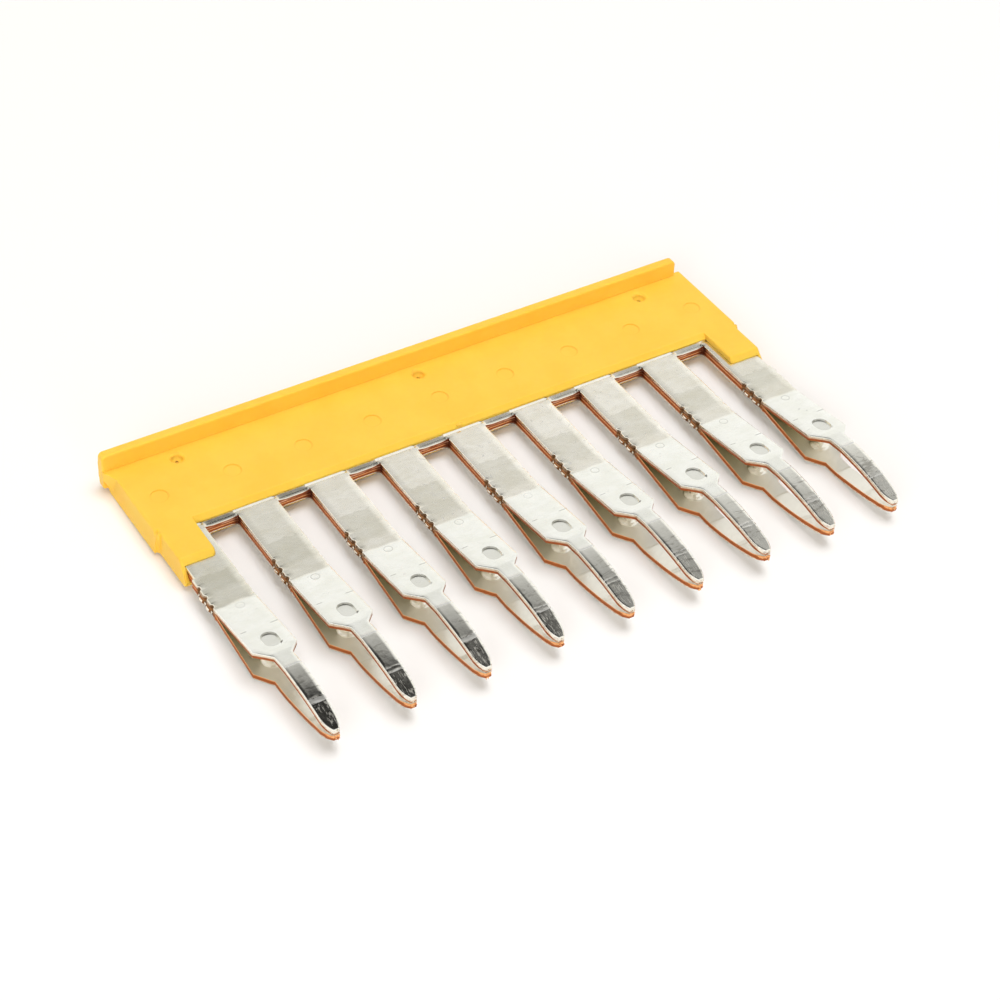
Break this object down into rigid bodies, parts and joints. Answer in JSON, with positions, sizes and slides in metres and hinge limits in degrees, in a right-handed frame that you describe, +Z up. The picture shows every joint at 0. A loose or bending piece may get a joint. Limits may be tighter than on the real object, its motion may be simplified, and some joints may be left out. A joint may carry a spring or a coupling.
{
  "type": "terminal block jumper bar",
  "caption": "Flat plug-in jumper that bridges a row of rail terminal blocks: sprung contact legs of tinned copper strip, held in a moulded yellow plate with a push lip along its back edge.",
  "frame": {"origin": "middle of the bar's footprint, at the height of its lowest point", "axes": "+X along the row of legs, +Y from the leg tips towards the lip, +Z up, away from the surface that the bar lies on"},
  "size_m": [0.0448, 0.027, 0.0034],
  "materials": {
    "yellow_plastic": "satin moulded polyamide",
    "tinned_copper": "bright tin plate over copper, bare copper along the sheared edges"
  },
  "bodies": {
    "root": {"insulating_body": "yellow_plastic", "upper_contact_comb": "tinned_copper", "lower_contact_comb": "tinned_copper"}
  },
  "joints": []
}
